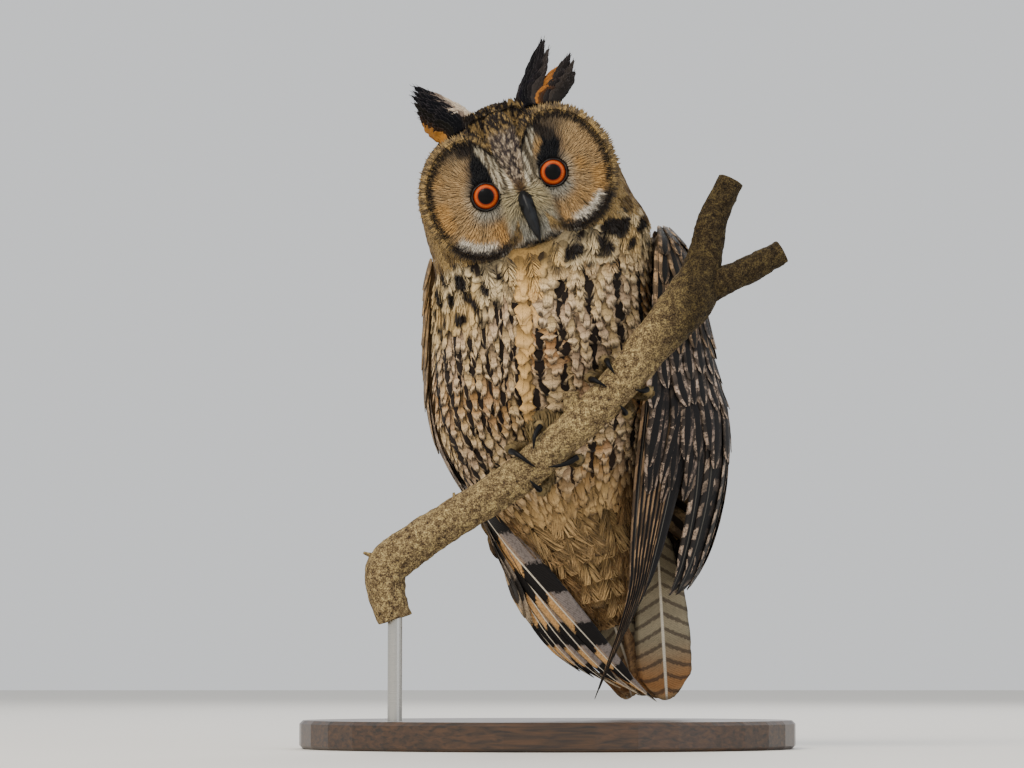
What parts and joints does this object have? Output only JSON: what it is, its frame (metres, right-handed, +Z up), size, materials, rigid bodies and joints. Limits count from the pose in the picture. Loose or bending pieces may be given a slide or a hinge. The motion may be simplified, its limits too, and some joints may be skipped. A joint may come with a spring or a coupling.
{
  "type": "long eared owl on a display perch",
  "caption": "Long-eared owl at rest with folded wings, gripping a short cut length of branch over a plain oval display stand.",
  "frame": {"origin": "centre of the stand's underside, on the surface it stands on", "axes": "+Z up; the owl faces -Y; +X is the owl's left side"},
  "size_m": [0.28, 0.2, 0.4004],
  "materials": {
    "buff_plumage": "soft matte plumage, buff streaked with dark brown",
    "flight_feather": "matte barred feather, dark brown and buff",
    "tuft_feather": "matte black feather edged with ochre",
    "foot_feather": "fine matte buff feathering",
    "eye": "wet gloss, orange iris round a black pupil",
    "horn": "satin black horn",
    "bark": "rough grey-brown bark with lichen",
    "stand_wood": "satin varnish",
    "stand_steel": "brushed"
  },
  "bodies": {
    "root": {"head": "buff_plumage", "neck": "buff_plumage", "torso": "buff_plumage", "ear_tuft_left": "tuft_feather", "ear_tuft_right": "tuft_feather", "eye_left": "eye", "eye_right": "eye", "bill_upper": "horn", "bill_lower": "horn", "wing_left": "flight_feather", "wing_right": "flight_feather", "tail": "flight_feather", "leg_left": "foot_feather", "leg_right": "foot_feather", "foot_left": "foot_feather", "foot_right": "foot_feather", "claw_left_1": "horn", "claw_left_2": "horn", "claw_left_3": "horn", "claw_left_4": "horn", "claw_right_1": "horn", "claw_right_2": "horn", "claw_right_3": "horn", "claw_right_4": "horn", "perch_branch": "bark", "stand_base": "stand_wood", "stand_rod": "stand_steel"}
  },
  "joints": []
}
